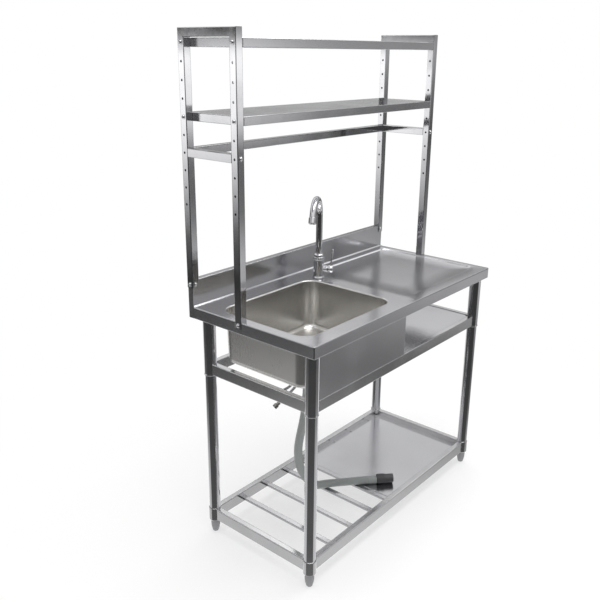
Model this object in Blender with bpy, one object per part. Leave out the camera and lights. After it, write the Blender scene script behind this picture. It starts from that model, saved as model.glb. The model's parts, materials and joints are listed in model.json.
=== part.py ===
"""Stainless steel sink bench: one bowl, a drainboard, two lower shelves, an overshelf, a mixer tap.

Metres, +Z up, +X to the user's right, the user stands at -Y.  The origin is on the floor
under the middle of the bench.  Neighbouring pieces are kept about 0.3 mm apart.
"""
import math

import bmesh
import bpy
import numpy as np
from mathutils import Vector

GAP = 0.0003

# Worktop: a pressed sheet with a folded fascia and a box-folded backsplash.
TOP_X = 0.500
TOP_FRONT, TOP_BACK = -0.250, 0.2485
TOP_Z = 0.800
FASCIA_Z = 0.7625
SPLASH_FRONT, SPLASH_Z = 0.2270, 0.885
SHEET = 0.0015
DRAIN_AREA = (0.040, 0.474, -0.205, 0.195)
DRAIN_RADIUS, DRAIN_DEPTH = 0.030, 0.004

# Bowl: inner sides of the opening, then the depths of the pressing.
BOWL = (-0.4635, -0.0435, -0.191, 0.149)
BOWL_CORNER = 0.046
BOWL_RIM_Z = TOP_Z - SHEET - GAP
BOWL_FILLET_Z, BOWL_FILLET = 0.650, 0.020
WASTE = (-0.2535, -0.021)
WASTE_SEAT_Z = 0.6225

# Legs: telescoping round tubes on the four corners.
LEG_X = 0.468
LEG_Y = {"front": -0.2175, "back": 0.195}
SIDE = {"left": -1, "right": 1}
UPPER_R, LOWER_R, SLEEVE_R = 0.0200, 0.01825, 0.0205
UPPER_Z = (0.576, 0.7940)
SLEEVE_Z = (0.0450, 0.093)

# Rails: folded channels, open towards the middle of the bench.
RAIL_W, RAIL_T = 0.020, 0.0015
MID_Z = (0.580, 0.617)
LOW_Z = (0.050, 0.090)
RAIL_INNER_FRONT, RAIL_INNER_BACK = -0.2072, 0.1847

# Sheets and slats carried by the rails.
MID_SHEET_Z, MID_SHEET_LEFT = 0.6150, -0.010
LOW_SHEET_Z, LOW_SHEET_LEFT = 0.0720, -0.019
SLAT_X = (-0.342, -0.229, -0.116, -0.0285)
SLAT_W, SLAT_H = 0.018, 0.008
FOLD = 0.0012

# Overshelf: 25 mm square tube frames with folded trays.
POST_OUT, POST = 0.5020, 0.025
POST_Y = {"front": 0.0230, "back": 0.2250}
POST_WALL, POST_ROUND = 0.0015, 0.002
FRAME_Z = 1.605
HOLE_Z, HOLE_PITCH, HOLE_COUNT, HOLE_R = 1.5664, 0.050, 10, 0.00375
TRAY_X, TRAY_Z = 0.4767, (1.379, 1.579)
TRAY_FRONT, TRAY_BACK, TRAY_H = 0.0230, 0.2500, 0.025
BRACE_Z = (1.255, 1.280)

# Tap: stands behind the bowl's right corner and faces the waste.
TAP = (-0.008, 0.138)
AIM = Vector((WASTE[0] - TAP[0], WASTE[1] - TAP[1], 0)).normalized()
HANDLE = Vector((-AIM.y, AIM.x, 0))
SPOUT_AIM = Vector((-0.8755, -0.4834, 0)).normalized()
SPOUT_SIDE = Vector((-SPOUT_AIM.y, SPOUT_AIM.x, 0))
TAP_TOP_Z, STUB_Z = 0.8755, 0.832
SPOUT_R, ARC_R, ARC_Z, ARC_TURN = 0.011, 0.062, 1.022, 155
SPOUT_TAIL = 0.012
SHANK_END_Z = 0.765
HUB_R, HUB_REACH = 0.0138, 0.0400

FINISHES = {
    "deck_steel": ((0.62, 0.62, 0.63), 1.0, 0.26),
    "bowl_steel": ((0.60, 0.60, 0.61), 1.0, 0.30),
    "sheet_steel": ((0.63, 0.63, 0.64), 1.0, 0.22),
    "tube_steel": ((0.66, 0.66, 0.67), 1.0, 0.14),
    "rail_steel": ((0.61, 0.61, 0.62), 1.0, 0.25),
    "tap_chrome": ((0.78, 0.78, 0.80), 1.0, 0.06),
    "foot_plastic": ((0.42, 0.42, 0.43), 0.0, 0.50),
    "waste_plastic": ((0.10, 0.10, 0.11), 0.0, 0.45),
    "hose_plastic": ((0.46, 0.47, 0.48), 0.0, 0.42),
    "hose_braid": ((0.55, 0.55, 0.57), 0.9, 0.35),
    "nut_brass": ((0.70, 0.69, 0.66), 1.0, 0.20),
}


def finish(slot):
    """The material of one finish, made once."""
    found = bpy.data.materials.get(slot)
    if found:
        return found
    colour, metallic, roughness = FINISHES[slot]
    material = bpy.data.materials.new(slot)
    material.use_nodes = True
    shader = material.node_tree.nodes["Principled BSDF"]
    shader.inputs["Base Color"].default_value = (*colour, 1.0)
    shader.inputs["Metallic"].default_value = metallic
    shader.inputs["Roughness"].default_value = roughness
    return material


def make(name, slot, shape, pivot=(0, 0, 0)):
    """One mesh object with its origin at pivot; the shape's points are in world metres."""
    points, faces = shape
    mesh = bpy.data.meshes.new(name)
    mesh.from_pydata([tuple(Vector(p) - Vector(pivot)) for p in points], [], faces)
    work = bmesh.new()
    work.from_mesh(mesh)
    bmesh.ops.recalc_face_normals(work, faces=work.faces)
    work.to_mesh(mesh)
    work.free()
    mesh.materials.append(finish(slot))
    body = bpy.data.objects.new(name, mesh)
    body.location = pivot
    bpy.context.scene.collection.objects.link(body)
    return body


def carve(body, shape, operation="DIFFERENCE"):
    """Cut a shape out of a body at the world origin, or join it on."""
    tool = make("carving_tool", body.data.materials[0].name, shape)
    change = body.modifiers.new("carve", "BOOLEAN")
    change.solver = "EXACT"
    change.operation = operation
    change.object = tool
    graph = bpy.context.evaluated_depsgraph_get()
    mesh = bpy.data.meshes.new_from_object(body.evaluated_get(graph))
    body.modifiers.clear()
    body.data = mesh
    mesh.name = body.name
    bpy.data.objects.remove(tool, do_unlink=True)


def loft(rings, closed=False, caps=True):
    """A skin through equal rings: capped at both ends, or closed back onto the first ring."""
    count = len(rings[0])
    points = [point for ring in rings for point in ring]
    faces = []
    for i in range(len(rings) if closed else len(rings) - 1):
        a = i * count
        b = (i + 1) % len(rings) * count
        for j in range(count):
            k = (j + 1) % count
            faces.append((a + j, a + k, b + k, b + j))
    if caps and not closed:
        faces.append(tuple(range(count)))
        faces.append(tuple(range(len(points) - count, len(points))))
    return points, faces


def merged(shapes):
    """Several shapes as one list of points and faces."""
    points, faces = [], []
    for more_points, more_faces in shapes:
        base = len(points)
        points += more_points
        faces += [tuple(base + i for i in face) for face in more_faces]
    return points, faces


def at(axis, value, pair):
    """A point from its place along an axis and its two other coordinates."""
    point = list(pair)
    point.insert(axis, value)
    return tuple(point)


def extrude(outline, axis, start, end):
    """A flat outline carried straight along an axis."""
    return loft([[at(axis, place, pair) for pair in outline] for place in (start, end)])


def block(x0, x1, y0, y1, z0, z1):
    """A plain box."""
    return extrude([(x0, y0), (x1, y0), (x1, y1), (x0, y1)], 2, z0, z1)


def rounded(x0, x1, y0, y1, radius, steps, fill=0):
    """A rectangle with round corners, anticlockwise, with fill extra points along each side."""
    corners = (
        (x1 - radius, y1 - radius, 0),
        (x0 + radius, y1 - radius, 90),
        (x0 + radius, y0 + radius, 180),
        (x1 - radius, y0 + radius, 270),
    )
    points = []
    for middle_x, middle_y, first in corners:
        for k in range(steps + 1):
            turn = math.radians(first + 90 * k / steps)
            points.append((middle_x + radius * math.cos(turn), middle_y + radius * math.sin(turn)))
    if not fill:
        return points
    arc = steps + 1
    filled = []
    for corner in range(4):
        filled += points[corner * arc:(corner + 1) * arc]
        (ax, ay), (bx, by) = filled[-1], points[(corner + 1) * arc % len(points)]
        for k in range(1, fill + 1):
            part = k / (fill + 1)
            filled.append((ax + (bx - ax) * part, ay + (by - ay) * part))
    return filled


def turned(profile, foot, direction=(0, 0, 1), sides=20):
    """(radius, height) pairs turned about the line through foot along direction.

    A profile that starts and ends on the line is a solid; any other is a closed loop.
    """
    axis = Vector(direction).normalized()
    across = axis.orthogonal().normalized()
    other = axis.cross(across)
    solid = profile[0][0] == 0
    rings = []
    for radius, height in profile[1:-1] if solid else profile:
        ring = []
        for k in range(sides):
            turn = 2 * math.pi * k / sides
            out = across * math.cos(turn) + other * math.sin(turn)
            ring.append(tuple(Vector(foot) + axis * height + out * radius))
        rings.append(ring)
    points, faces = loft(rings, closed=not solid, caps=False)
    if solid:
        for height, first in ((profile[0][1], 0), (profile[-1][1], len(points) - sides)):
            pole = len(points)
            points.append(tuple(Vector(foot) + axis * height))
            faces += [(pole, first + k, first + (k + 1) % sides) for k in range(sides)]
    return points, faces


def square_tube(sides, axis, start, end):
    """A thin square tube; start and end give the cut's place for each point of the outline."""
    a0, a1, b0, b1 = sides
    wall = POST_WALL
    outer = rounded(a0, a1, b0, b1, POST_ROUND, 2)
    inner = rounded(a0 + wall, a1 - wall, b0 + wall, b1 - wall, POST_ROUND - wall, 2)
    cuts = ((outer, start), (outer, end), (inner, end), (inner, start))
    return loft([[at(axis, cut(*pair), pair) for pair in line] for line, cut in cuts], closed=True)


def swept(path, radii, side, sides=16):
    """Circles carried along a flat path; side is the path's plane normal."""
    path = [Vector(p) for p in path]
    rings = []
    for i, (middle, radius) in enumerate(zip(path, radii)):
        along = (path[min(i + 1, len(path) - 1)] - path[max(i - 1, 0)]).normalized()
        across = along.cross(side)
        ring = []
        for k in range(sides):
            turn = 2 * math.pi * k / sides
            out = side * math.cos(turn) + across * math.sin(turn)
            ring.append(tuple(middle + out * radius))
        rings.append(ring)
    return loft(rings)


def smooth(route, spacing):
    """Even points along a Catmull-Rom curve through the route's points."""
    route = np.array(route, float)
    ends = np.vstack((2 * route[0] - route[1], route, 2 * route[-1] - route[-2]))
    t = np.linspace(0, 1, 40, endpoint=False)[:, None]
    pieces = []
    for a, b, c, d in zip(ends, ends[1:], ends[2:], ends[3:]):
        pieces.append(0.5 * (2 * b + (c - a) * t + (2 * a - 5 * b + 4 * c - d) * t ** 2
                             + (3 * b - a - 3 * c + d) * t ** 3))
    fine = np.vstack(pieces + [route[-1:]])
    run = np.concatenate(([0], np.cumsum(np.linalg.norm(np.diff(fine, axis=0), axis=1))))
    even = np.linspace(0, run[-1], max(2, round(run[-1] / spacing)) + 1)
    return np.column_stack([np.interp(even, run, fine[:, i]) for i in range(3)])


def hose(name, slot, route, radius, spacing):
    """A round hose along the route."""
    points = smooth(route, spacing)
    curve = bpy.data.curves.new(name, "CURVE")
    curve.dimensions = "3D"
    curve.bevel_depth = radius
    curve.bevel_resolution = 2
    curve.use_fill_caps = True
    curve.render_resolution_u = 0
    spline = curve.splines.new("POLY")
    spline.points.add(len(points) - 1)
    for spot, point in zip(spline.points, points):
        spot.co = (*point, 1)
    curve.materials.append(finish(slot))
    body = bpy.data.objects.new(name, curve)
    bpy.context.scene.collection.objects.link(body)
    return body


def clear_objects():
    for old in list(bpy.data.objects):
        bpy.data.objects.remove(old, do_unlink=True)


def build_worktop():
    """The deck, its fascia and backsplash, the bowl opening, the drain area and the tap hole."""
    inner_x = TOP_X - SHEET
    deck = block(-TOP_X, TOP_X, TOP_FRONT, TOP_BACK, FASCIA_Z, TOP_Z)
    top = make("worktop", "deck_steel", deck)
    carve(top, block(-TOP_X, TOP_X, SPLASH_FRONT, TOP_BACK, TOP_Z - 0.01, SPLASH_Z), "UNION")
    under = block(-inner_x, inner_x, TOP_FRONT + SHEET, TOP_BACK - SHEET, 0.70, TOP_Z - SHEET)
    carve(top, under)
    fold = (SPLASH_FRONT + SHEET, TOP_BACK - SHEET)
    carve(top, block(-inner_x, inner_x, *fold, 0.70, SPLASH_Z - SHEET))
    x0, x1, y0, y1 = DRAIN_AREA
    grow = 0.004
    pan = rounded(x0 - grow, x1 + grow, y0 - grow, y1 + grow, DRAIN_RADIUS + grow, 6)
    carve(top, extrude(pan, 2, TOP_Z - DRAIN_DEPTH - SHEET, TOP_Z - 0.0005), "UNION")
    lower = rounded(x0 + 0.003, x1 - 0.003, y0 + 0.003, y1 - 0.003, DRAIN_RADIUS - 0.003, 6)
    upper = rounded(x0 - 0.001, x1 + 0.001, y0 - 0.001, y1 + 0.001, DRAIN_RADIUS + 0.001, 6)
    rings = [
        [(x, y, TOP_Z - DRAIN_DEPTH) for x, y in lower],
        [(x, y, TOP_Z + 0.001) for x, y in upper],
    ]
    carve(top, loft(rings))
    carve(top, extrude(rounded(*BOWL, BOWL_CORNER, 6), 2, 0.75, 0.82))
    carve(top, turned([(0, 0.75), (0.0165, 0.75), (0.0165, 0.82), (0, 0.82)], (*TAP, 0)))


def bowl_ring(inset, height, blend=0.0, radius=0.0):
    """One level of the bowl: a round-cornered rectangle, blended towards a circle at the waste."""
    x0, x1, y0, y1 = BOWL
    corner = max(BOWL_CORNER - 0.6 * inset, 0.004)
    outline = rounded(x0 + inset, x1 - inset, y0 + inset, y1 - inset, corner, 6, fill=2)
    ring = []
    for i, (x, y) in enumerate(outline):
        turn = math.radians(45) + 2 * math.pi * (i - 3) / len(outline)
        round_x = WASTE[0] + radius * math.cos(turn)
        round_y = WASTE[1] + radius * math.sin(turn)
        ring.append((x + (round_x - x) * blend, y + (round_y - y) * blend, height))
    return ring


def build_bowl():
    """The pressed bowl: a thin shell with a round seat and hole for the waste."""
    inside = [(0.0, BOWL_RIM_Z, 0.0, 0.0, 0), (0.002, 0.735, 0.0, 0.0, 0)]
    for k in range(7):
        turn = math.radians(15 * k)
        inset = 0.004 + BOWL_FILLET * (1 - math.cos(turn))
        inside.append((inset, BOWL_FILLET_Z - BOWL_FILLET * math.sin(turn), 0.0, 0.0, 15 * k))
    foot = 0.004 + BOWL_FILLET
    inside.append((foot, 0.6288, 0.6, 0.070, 90))
    inside.append((foot, 0.6268, 1.0, 0.044, 90))
    inside.append((foot, WASTE_SEAT_Z, 1.0, 0.039, 90))
    inside.append((foot, WASTE_SEAT_Z - 0.0002, 1.0, 0.0255, 90))
    skin = [bowl_ring(inset, z, blend, radius) for inset, z, blend, radius, _ in inside]
    back = []
    for inset, z, blend, radius, slope in inside:
        out = SHEET * math.cos(math.radians(slope))
        down = SHEET * math.sin(math.radians(slope))
        back.append(bowl_ring(inset - out, z - down, blend, radius))
    flange = [bowl_ring(-0.0075, BOWL_RIM_Z), bowl_ring(-0.0075, BOWL_RIM_Z - SHEET)]
    under_rim = bowl_ring(-SHEET, BOWL_RIM_Z - SHEET)
    rings = skin[::-1] + flange + [under_rim] + back[1:]
    make("sink_bowl", "bowl_steel", loft(rings, closed=True))


def build_legs():
    """Four telescoping legs, their corner sleeves and levelling feet."""
    upper_in, lower_in, sleeve_in = 0.0187, 0.0170, 0.01875
    low, high = UPPER_Z
    upper = [(UPPER_R, high), (upper_in, high), (upper_in, low), (UPPER_R + 0.0006, low),
             (UPPER_R + 0.0006, low + 0.003), (UPPER_R, low + 0.0036)]
    lower = [(LOWER_R, 0.640), (lower_in, 0.640), (lower_in, 0.0488), (LOWER_R, 0.0488)]
    base, rim = SLEEVE_Z
    sleeve = [(sleeve_in, rim), (sleeve_in, base + 0.0035), (0.0056, base + 0.0035),
              (0.0056, base), (0.0180, base), (SLEEVE_R, base + 0.0030), (SLEEVE_R, rim)]
    foot = [(0, 0), (0.0090, 0), (0.0100, 0.0030), (0.0125, 0.0120), (0.0143, 0.0220),
            (0.0148, 0.0310), (0.0146, 0.0400), (0.0130, base - GAP), (0.0050, base - GAP),
            (0.0050, 0.0930), (0.0040, 0.0945), (0, 0.0945)]
    for side, sign in SIDE.items():
        for end, y in LEG_Y.items():
            spot = (sign * LEG_X, y, 0)
            place = f"{end}_{side}"
            make(f"leg_upper_{place}", "tube_steel", turned(upper, spot))
            make(f"leg_lower_{place}", "tube_steel", turned(lower, spot))
            make(f"corner_sleeve_{place}", "rail_steel", turned(sleeve, spot))
            make(f"foot_{place}", "foot_plastic", turned(foot, spot, sides=16), pivot=spot)


def rail(name, x0, x1, y0, y1, low, high):
    """A rectangular tube along its longer side, open at both ends."""
    tube = make(name, "rail_steel", block(x0, x1, y0, y1, low, high))
    past = -0.005
    wall_x, wall_y = (past, RAIL_T) if x1 - x0 > y1 - y0 else (RAIL_T, past)
    carve(tube, block(x0 + wall_x, x1 - wall_x, y0 + wall_y, y1 - wall_y, low + RAIL_T, high - RAIL_T))


def build_rails():
    """Two rings of rectangular tubes between the legs."""
    half = RAIL_W / 2
    for level, (low, high), reach in (("mid", MID_Z, UPPER_R), ("low", LOW_Z, SLEEVE_R)):
        clear = reach + GAP
        run = LEG_X - clear
        for end, y in LEG_Y.items():
            rail(f"{level}_rail_{end}", -run, run, y - half, y + half, low, high)
        first, last = LEG_Y["front"] + clear, LEG_Y["back"] - clear
        for side, sign in SIDE.items():
            x = sign * LEG_X
            rail(f"{level}_rail_{side}", x - half, x + half, first, last, low, high)


def shelf_sheet(name, left, top, drop, notch):
    """A lower shelf sheet with a folded left edge, notched round the two right legs."""
    right = LEG_X - RAIL_W / 2 - GAP
    front, back = RAIL_INNER_FRONT, RAIL_INNER_BACK
    in_x = LEG_X - notch
    in_front, in_back = LEG_Y["front"] + notch, LEG_Y["back"] - notch
    outline = [(left, front), (in_x, front), (in_x, in_front), (right, in_front),
               (right, in_back), (in_x, in_back), (in_x, back), (left, back)]
    sheet = make(name, "sheet_steel", extrude(outline, 2, top - FOLD, top))
    lip = block(left, left + FOLD, front, back, top - drop, top - FOLD / 2)
    carve(sheet, lip, "UNION")
    return sheet


def build_lower_shelves():
    """The mid and bottom sheets under the drainboard, and the slats under the bowl."""
    shelf_sheet("mid_shelf_sheet", MID_SHEET_LEFT, MID_SHEET_Z, 0.015, UPPER_R + 0.0008)
    low = shelf_sheet("low_shelf_sheet", LOW_SHEET_LEFT, LOW_SHEET_Z, 0.015, SLEEVE_R + 0.0008)
    plug = [(0, 0.06), (0.003, 0.06), (0.003, 0.08), (0, 0.08)]
    holes = [turned(plug, (x, 0.172, 0), sides=12) for x in (0.150, 0.260, 0.380)]
    carve(low, merged(holes))
    half = SLAT_W / 2
    bottom = LOW_SHEET_Z - SLAT_H
    for number, x in enumerate(SLAT_X, 1):
        outline = [(x - half, bottom), (x - half, LOW_SHEET_Z), (x + half, LOW_SHEET_Z),
                   (x + half, bottom), (x + half - FOLD, bottom),
                   (x + half - FOLD, LOW_SHEET_Z - FOLD), (x - half + FOLD, LOW_SHEET_Z - FOLD),
                   (x - half + FOLD, bottom)]
        make(f"slat_{number}", "sheet_steel", extrude(outline, 1, RAIL_INNER_FRONT, RAIL_INNER_BACK))


def build_apron():
    """The panel in front of the bowl, with a return fold at its right end."""
    front = LEG_Y["front"] - RAIL_W / 2
    left, right = -LEG_X + UPPER_R + 0.0005, -0.012
    outline = [(left, front), (right, front), (right, front + 0.015),
               (right - FOLD, front + 0.015), (right - FOLD, front + FOLD), (left, front + FOLD)]
    make("front_apron", "sheet_steel", extrude(outline, 2, MID_Z[1] + GAP, TOP_Z - SHEET - GAP))


def post_holes(sign, y):
    """The ten shelf bolt holes of a post, drilled through both of its side walls."""
    profile = [(0, -0.02), (HOLE_R, -0.02), (HOLE_R, 0.02), (0, 0.02)]
    x = sign * (POST_OUT - POST / 2)
    rows = [HOLE_Z - HOLE_PITCH * k for k in range(HOLE_COUNT)]
    return merged([turned(profile, (x, y + POST / 2, z), (1, 0, 0), 8) for z in rows])


def build_overshelf():
    """Posts, top bars, brace and the two trays."""
    front, back = POST_Y["front"], POST_Y["back"] + POST
    clear = GAP * 0.7
    for side, sign in SIDE.items():
        x0, x1 = sorted((sign * POST_OUT, sign * (POST_OUT - POST)))
        keep = POST_OUT - POST_WALL + 0.0001
        inner = sorted((sign * keep, sign * 0.40))

        sides = (x0, x1, front, front + POST)
        shape = square_tube(sides, 2, lambda x, y: 0.779, lambda x, y: FRAME_Z - (y - front) - clear)
        post = make(f"post_front_{side}", "tube_steel", shape)
        carve(post, block(*inner, 0.0, 0.1, 0.70, TOP_Z + GAP))
        carve(post, post_holes(sign, front))

        sides = (x0, x1, back - POST, back)
        shape = square_tube(sides, 2, lambda x, y: 0.860, lambda x, y: FRAME_Z - (back - y) - clear)
        post = make(f"post_back_{side}", "tube_steel", shape)
        skin = back - POST + POST_WALL - 0.0001
        carve(post, block(*inner, skin, 0.3, 0.80, SPLASH_Z + GAP))
        carve(post, post_holes(sign, back - POST))

        sides = (x0, x1, FRAME_Z - POST, FRAME_Z)
        shape = square_tube(sides, 1, lambda x, z: front + FRAME_Z - z + clear,
                            lambda x, z: back - FRAME_Z + z - clear)
        make(f"top_bar_{side}", "tube_steel", shape)

        sides = (x0, x1, *BRACE_Z)
        shape = square_tube(sides, 1, lambda x, z: front + POST + GAP, lambda x, z: back - POST - GAP)
        make(f"side_brace_{side}", "tube_steel", shape)

    sides = (back - POST + 0.0005, back - 0.0005, *BRACE_Z)
    shape = square_tube(sides, 0, lambda y, z: -TRAY_X, lambda y, z: TRAY_X)
    make("back_brace", "tube_steel", shape)

    for name, z in zip(("tray_mid", "tray_top"), TRAY_Z):
        shape = block(-TRAY_X, TRAY_X, TRAY_FRONT, TRAY_BACK, z - TRAY_H, z)
        tray = make(name, "sheet_steel", shape)
        inside = (-TRAY_X + FOLD, TRAY_X - FOLD, TRAY_FRONT + FOLD, TRAY_BACK - FOLD)
        carve(tray, block(*inside, z - TRAY_H - 0.01, z - FOLD))


def build_waste():
    """Strainer, waste fitting, hose and the hose's coupling."""
    seat = WASTE_SEAT_Z + GAP
    fitting = [(0.0225, seat + 0.0015), (0.0345, seat + 0.0015), (0.0345, seat), (0.0245, seat),
               (0.0245, 0.6200), (0.0340, 0.6200), (0.0340, 0.6080), (0.0260, 0.6060),
               (0.0260, 0.5900), (0.0190, 0.5820), (0.0190, 0.5600), (0.0110, 0.5600),
               (0.0110, 0.5840), (0.0225, 0.5920)]
    make("waste_fitting", "waste_plastic", turned(fitting, (*WASTE, 0)))
    rest = seat + 0.0015 + GAP
    strainer = [(0, 0.6020), (0.0205, 0.6020), (0.0215, 0.6035), (0.0215, rest), (0.0300, rest),
                (0.0290, rest + 0.0016), (0.0200, rest + 0.0016), (0.0190, 0.6045),
                (0.0035, 0.6045), (0.0030, 0.6300), (0.0065, 0.6340), (0.0065, 0.6380),
                (0.0040, 0.6400), (0, 0.6400)]
    make("strainer", "tap_chrome", turned(strainer, (*WASTE, 0)), pivot=(*WASTE, rest))
    route = [
        (*WASTE, 0.5594), (*WASTE, 0.5200), (-0.2650, -0.021, 0.4300),
        (-0.2940, -0.021, 0.3250), (-0.2850, -0.020, 0.2500), (-0.2520, -0.012, 0.1950),
        (-0.2050, 0.004, 0.1400), (-0.1600, 0.010, 0.1010), (-0.1100, -0.004, 0.0880),
        (-0.0488, -0.0530, 0.0868), (-0.0120, -0.0830, 0.0868), (0.0247, -0.1167, 0.0868),
    ]
    hose("waste_hose", "hose_plastic", route, 0.014, 0.040)
    tail = smooth(route, 0.040)
    start = Vector(tail[-1])
    along = Vector(tail[-1] - tail[-2])
    along.z = 0
    coupling = [(0, 0.0008), (0.0155, 0.0008), (0.0165, 0.0020), (0.0165, 0.0300),
                (0.0150, 0.0320), (0.0150, 0.0600), (0.0130, 0.0600), (0.0130, 0.0330),
                (0, 0.0330)]
    lift = Vector((0, 0, 0.0030))
    make("waste_coupling", "waste_plastic", turned(coupling, start + lift, along))


def build_tap():
    """A side-lever mixer: body, swivel spout, handle hub, lever, fixing nut and supply hoses."""
    foot = Vector((*TAP, 0))
    body = [(0, SHANK_END_Z), (0.0155, SHANK_END_Z), (0.0155, TOP_Z + GAP), (0.0205, TOP_Z + GAP),
            (0.0205, TOP_Z + 0.004), (0.0180, TOP_Z + 0.007), (0.0180, TAP_TOP_Z - 0.009),
            (0.0192, TAP_TOP_Z - 0.007), (0.0192, TAP_TOP_Z - 0.001), (0.0180, TAP_TOP_Z),
            (0, TAP_TOP_Z)]
    tap = make("tap_body", "tap_chrome", turned(body, foot))
    pivot = foot + Vector((0, 0, STUB_Z))
    stub = [(0, 0.005), (0.0118, 0.005), (0.0118, 0.0300), (0, 0.0300)]
    carve(tap, turned(stub, pivot, HANDLE), "UNION")

    path = [foot + Vector((0, 0, z)) for z in
            (TAP_TOP_Z + GAP, 0.8830, 0.8860, 0.8880, 0.9400, 0.9900, ARC_Z)]
    radii = [0.0165, 0.0165, 0.0150, SPOUT_R, SPOUT_R, SPOUT_R, SPOUT_R]
    for k in range(1, 15):
        turn = math.radians(ARC_TURN * k / 14)
        reach = ARC_R * (1 - math.cos(turn))
        path.append(foot + SPOUT_AIM * reach + Vector((0, 0, ARC_Z + ARC_R * math.sin(turn))))
        radii.append(SPOUT_R)
    end_turn = math.radians(ARC_TURN)
    heading = SPOUT_AIM * math.sin(end_turn) + Vector((0, 0, math.cos(end_turn)))
    path.append(path[-1] + heading * SPOUT_TAIL)
    radii.append(SPOUT_R)
    spout_pivot = foot + Vector((0, 0, TAP_TOP_Z))
    make("tap_spout", "tap_chrome", swept(path, radii, SPOUT_SIDE), pivot=spout_pivot)
    nozzle = [(0, 0.0003), (0.0122, 0.0003), (0.0128, 0.0015), (0.0128, 0.0190), (0.0115, 0.0205),
              (0.0092, 0.0205), (0.0092, 0.0190), (0, 0.0190)]
    make("tap_aerator", "tap_chrome", turned(nozzle, path[-1], heading), pivot=spout_pivot)

    hub = [(0, HUB_REACH - 0.0095)]
    for k in range(13):
        height = 0.0095 * (k / 6 - 1)
        hub.append((math.sqrt(HUB_R ** 2 - height ** 2), HUB_REACH + height))
    hub.append((0, HUB_REACH + 0.0095))
    make("tap_handle_hub", "tap_chrome", turned(hub, pivot, HANDLE), pivot=pivot)
    hinge = pivot + HANDLE * HUB_REACH
    lean = (HANDLE * 0.12 + Vector((0, 0, 1))).normalized()
    lever = [(0, HUB_R + GAP), (0.0034, HUB_R + GAP), (0.0030, 0.0200), (0.0026, 0.0500), (0.0034, 0.0660),
             (0.0030, 0.0700), (0, 0.0710)]
    make("tap_lever", "tap_chrome", turned(lever, hinge, lean, 12), pivot=hinge)
    nut = [(0.0159, 0.7860), (0.0225, 0.7860), (0.0225, 0.7955), (0.0240, 0.7955),
           (0.0240, 0.7980), (0.0159, 0.7980)]
    make("tap_fixing_nut", "nut_brass", turned(nut, foot))

    x, y = TAP
    routes = {
        "cold": [(x - 0.006, y + 0.004, SHANK_END_Z - 2 * GAP), (x - 0.006, y + 0.004, 0.738),
                 (x - 0.026, y + 0.001, 0.670), (x - 0.034, y - 0.004, 0.600),
                 (-0.100, 0.105, 0.550), (-0.160, 0.055, 0.520), (-0.240, 0.038, 0.502),
                 (-0.280, 0.034, 0.490), (-0.310, 0.047, 0.466)],
        "hot": [(x + 0.006, y + 0.004, SHANK_END_Z - 2 * GAP), (x + 0.006, y + 0.004, 0.738),
                (x - 0.020, y + 0.016, 0.670), (x - 0.028, y + 0.014, 0.600),
                (-0.090, 0.128, 0.545), (-0.150, 0.090, 0.517), (-0.205, 0.072, 0.500),
                (-0.235, 0.071, 0.487), (-0.258, 0.079, 0.479)],
    }
    cap = [(0, 0.0003), (0.0058, 0.0003), (0.0058, 0.0100), (0.0085, 0.0110), (0.0085, 0.0230),
           (0.0060, 0.0230), (0.0060, 0.0150), (0, 0.0150)]
    for name, route in routes.items():
        hose(f"supply_hose_{name}", "hose_braid", route, 0.0045, 0.022)
        tail = smooth(route, 0.022)
        heading = Vector(tail[-1] - tail[-2])
        make(f"supply_nut_{name}", "nut_brass", turned(cap, Vector(tail[-1]), heading, 16))


clear_objects()
build_worktop()
build_bowl()
build_legs()
build_rails()
build_lower_shelves()
build_apron()
build_overshelf()
build_waste()
build_tap()

for solid in bpy.data.objects:
    if solid.type == "MESH":
        solid.data.shade_smooth()
        solid.data.set_sharp_from_angle(angle=math.radians(35))
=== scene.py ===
"""Visual model of a stainless sink bench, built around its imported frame.

Metres, +Z up, +X to the user's right, front at -Y, origin on the floor under the bench.
"""

import json
import math

import bmesh
import bpy
import numpy as np
from mathutils import Matrix, Vector


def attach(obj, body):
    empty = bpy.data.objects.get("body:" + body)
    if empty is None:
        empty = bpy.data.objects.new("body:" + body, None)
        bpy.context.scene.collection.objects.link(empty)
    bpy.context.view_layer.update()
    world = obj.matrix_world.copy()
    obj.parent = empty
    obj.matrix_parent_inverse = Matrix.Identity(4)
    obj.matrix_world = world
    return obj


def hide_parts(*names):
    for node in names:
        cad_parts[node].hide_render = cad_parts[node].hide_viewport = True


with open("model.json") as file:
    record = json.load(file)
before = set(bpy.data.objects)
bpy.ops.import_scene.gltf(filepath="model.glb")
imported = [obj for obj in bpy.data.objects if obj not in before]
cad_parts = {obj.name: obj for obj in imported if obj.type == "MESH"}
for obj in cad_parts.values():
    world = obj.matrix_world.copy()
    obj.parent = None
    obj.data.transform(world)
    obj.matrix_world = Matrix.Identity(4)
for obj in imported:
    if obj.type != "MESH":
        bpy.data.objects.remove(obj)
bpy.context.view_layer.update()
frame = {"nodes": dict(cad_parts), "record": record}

# Clearance between neighbouring parts, and the side that a level sheet faces.
GAP = 0.0003
TOPSIDE = (0, 0, 1)

# Worktop and bowl.
TOP_X, TOP_FRONT, TOP_BACK, TOP_Z = 0.500, -0.250, 0.2485, 0.800
FASCIA_Z, SHEET = 0.7625, 0.0015
SPLASH_FRONT, SPLASH_Z = 0.2270, 0.885
DRAIN_AREA, DRAIN_RADIUS, DRAIN_DEPTH = (0.040, 0.474, -0.205, 0.195), 0.031, 0.004
BOWL, BOWL_CORNER = (-0.4635, -0.0435, -0.191, 0.149), 0.046
BOWL_FILLET_Z, BOWL_FILLET, BOWL_ROLL = 0.650, 0.020, 0.005
WASTE, SEAT_Z = (-0.2535, -0.021), 0.6225
DECK_EDGE, DECK_SPLIT = 0.0038, 0.010

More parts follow.
